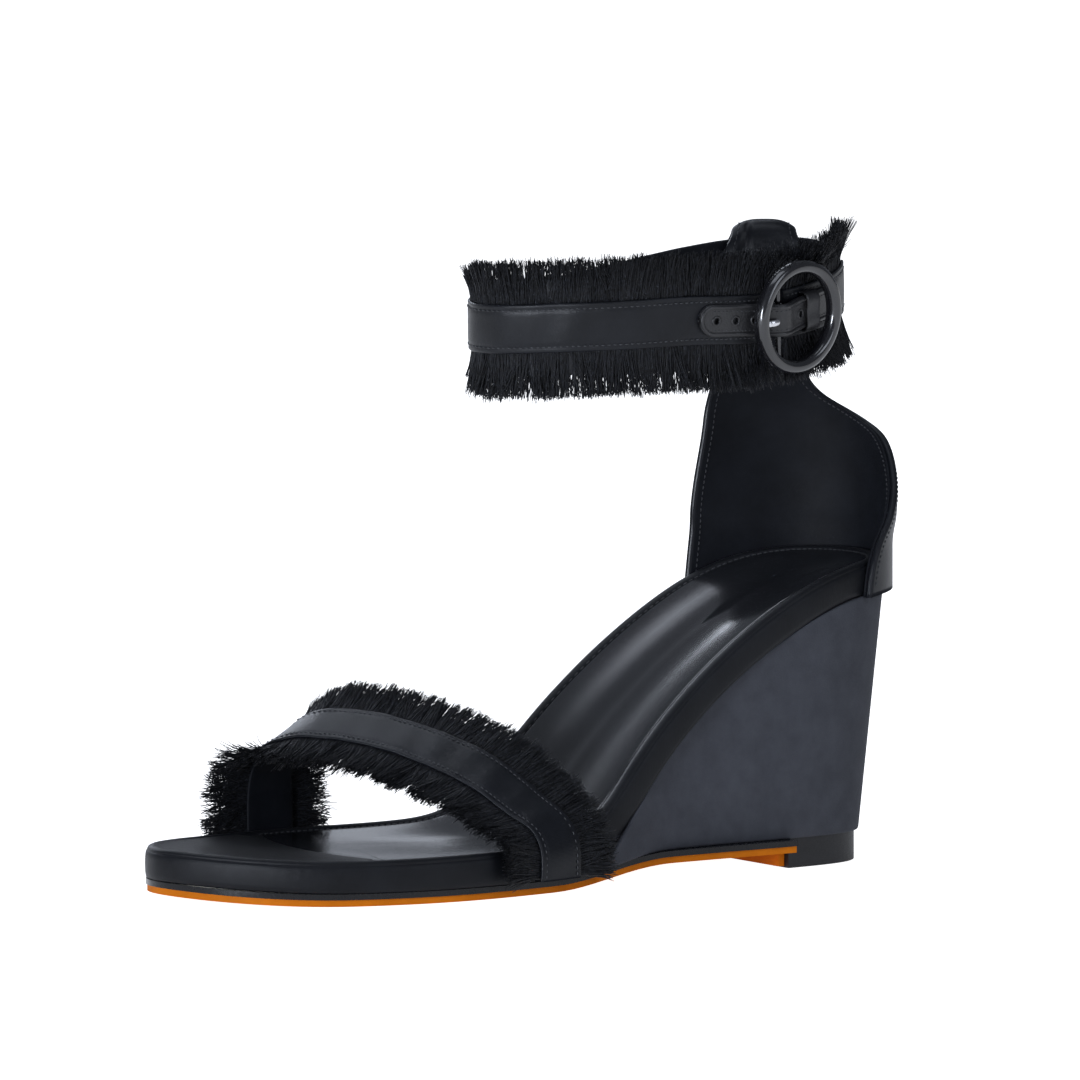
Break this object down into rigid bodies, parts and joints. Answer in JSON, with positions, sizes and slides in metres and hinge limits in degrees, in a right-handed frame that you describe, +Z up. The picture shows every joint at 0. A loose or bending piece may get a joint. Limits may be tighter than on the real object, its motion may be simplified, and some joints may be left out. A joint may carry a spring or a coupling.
{
  "type": "wedge sandal",
  "caption": "Black open-toe wedge sandal for the left foot, with a fringed satin toe strap, a tall counter and a fringed ankle strap closed by a round buckle.",
  "frame": {"origin": "centre of the whole sandal's footprint box, on the ground", "axes": "-Y to the toe, +X to the outer side of the left foot, +Z up"},
  "size_m": [0.0926, 0.2256, 0.1731],
  "materials": {
    "outsole_rubber": "smooth tan, slightly satin",
    "edge_band": "glossy painted black edge",
    "top_piece_rubber": "black, fine ribbed sides",
    "fastener_steel": "plain zinc",
    "wedge_plastic": "moulded natural plastic",
    "nubuck": "black napped nubuck, matte",
    "rim_leather": "smooth black, satin sheen",
    "platform_foam": "firm black foam",
    "board": "brown fibre board",
    "shank_steel": "ribbed spring steel",
    "cushion_foam": "soft latex foam",
    "sock_leather": "glossy black smooth leather",
    "lining_satin": "black satin lining",
    "satin": "black satin, stitched along the edges",
    "fringe_thread": "black frayed thread",
    "strap_leather": "black grained leather with stitched edge",
    "black_enamel": "gloss black",
    "prong_metal": "polished nickel"
  },
  "bodies": {
    "root": {"outsole": "outsole_rubber", "sole_edge": "edge_band", "heel_top_piece": "top_piece_rubber", "top_piece_nails": "fastener_steel", "wedge_core": "wedge_plastic", "wedge_cover": "nubuck", "heel_screws": "fastener_steel", "platform_wrap": "rim_leather", "platform_core": "platform_foam", "insole_board": "board", "shank": "shank_steel", "shank_rivets": "fastener_steel", "footbed_cushion": "cushion_foam", "sock_lining": "sock_leather", "counter_lining": "lining_satin", "counter_stiffener": "board", "counter_outer": "satin", "vamp_lining": "lining_satin", "vamp_fringe": "fringe_thread", "vamp_ribbon": "satin"},
    "neck_tab": {"heel_tab": "satin"},
    "ankle_strap": {"ankle_lining": "lining_satin", "band_facing": "satin", "ankle_fringe": "fringe_thread", "back_fringe": "fringe_thread", "ankle_ribbon": "satin", "back_ribbon": "satin", "buckle_strap": "strap_leather", "chape": "strap_leather", "keeper": "strap_leather"},
    "ring": {"buckle_ring": "black_enamel"},
    "prong": {"buckle_prong": "prong_metal"}
  },
  "joints": [
    {"name": "neck_flex", "type": "hinge", "parent": "root", "child": "neck_tab", "pos_m": [-0.02073, 0.0915, 0.1324], "axis": [-0.5395, -0.842, 0], "range_deg": [-12, 12], "stiffness_Nm_per_rad": 0.4},
    {"name": "strap_slide", "type": "slide", "parent": "neck_tab", "child": "ankle_strap", "axis": [-0.5395, -0.8418, -0.0164], "range_m": [-0.002, 0.002]},
    {"name": "buckle_rock", "type": "hinge", "parent": "ankle_strap", "child": "ring", "pos_m": [0.03495, 0.05928, 0.14878], "axis": [0.1089, -0.0891, 0.9901], "range_deg": [-3, 3]},
    {"name": "prong_swing", "type": "hinge", "parent": "ring", "child": "prong", "pos_m": [0.03495, 0.05928, 0.14878], "axis": [0.1089, -0.0891, 0.9901], "range_deg": [0, 65]}
  ]
}
